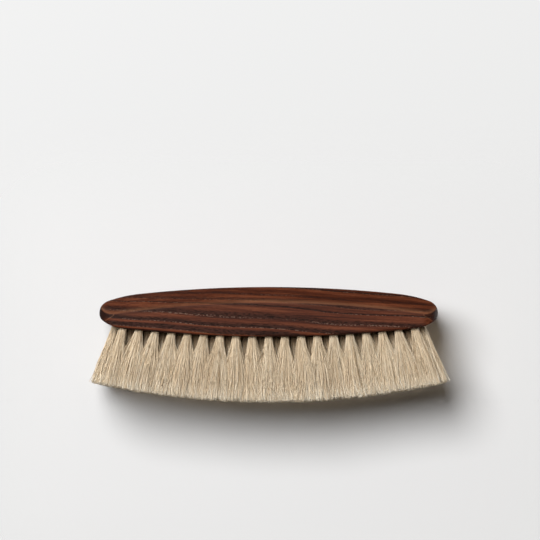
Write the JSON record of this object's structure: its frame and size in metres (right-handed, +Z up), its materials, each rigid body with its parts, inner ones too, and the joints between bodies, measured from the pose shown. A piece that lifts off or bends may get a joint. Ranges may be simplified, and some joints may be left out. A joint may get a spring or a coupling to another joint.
{
  "type": "shoe shine brush",
  "caption": "Shoe shine brush: one crowned dark ash back with long bevels and rounded noses, bored for staggered, fanned tufts of blond horsehair held by flat wire anchors.",
  "frame": {"origin": "lowest point of the hair trim, under the middle of the brush", "axes": "+Z up, the hair points down; +X along the length of the back; +Y across its width"},
  "size_m": [0.1876, 0.0532, 0.061],
  "materials": {
    "ash_wood": "satin oiled, open grain",
    "horsehair": "natural blond hair",
    "anchor_wire": "drawn flat wire"
  },
  "bodies": {
    "root": {"wood_back": "ash_wood", "tufts_01": "horsehair", "tufts_02": "horsehair", "tufts_03": "horsehair", "tufts_04": "horsehair", "tufts_05": "horsehair", "tufts_06": "horsehair", "tufts_07": "horsehair", "tufts_08": "horsehair", "tufts_09": "horsehair", "tufts_10": "horsehair", "tufts_11": "horsehair", "tufts_12": "horsehair", "tufts_13": "horsehair", "tufts_14": "horsehair", "tufts_15": "horsehair", "tufts_16": "horsehair", "tufts_17": "horsehair", "tufts_18": "horsehair", "tufts_19": "horsehair", "tufts_20": "horsehair", "tufts_21": "horsehair", "tufts_22": "horsehair", "tufts_23": "horsehair", "tufts_24": "horsehair", "tufts_25": "horsehair", "tufts_26": "horsehair", "tufts_27": "horsehair", "tufts_28": "horsehair", "tufts_29": "horsehair", "tufts_30": "horsehair", "tufts_31": "horsehair", "tufts_32": "horsehair", "tufts_33": "horsehair", "tufts_34": "horsehair", "tufts_35": "horsehair", "tufts_36": "horsehair", "tufts_37": "horsehair", "tufts_38": "horsehair", "tufts_39": "horsehair", "anchors_row_1": "anchor_wire", "anchors_row_2": "anchor_wire", "anchors_row_3": "anchor_wire", "anchors_row_4": "anchor_wire", "anchors_row_5": "anchor_wire", "anchors_row_6": "anchor_wire", "anchors_row_7": "anchor_wire"}
  },
  "joints": []
}
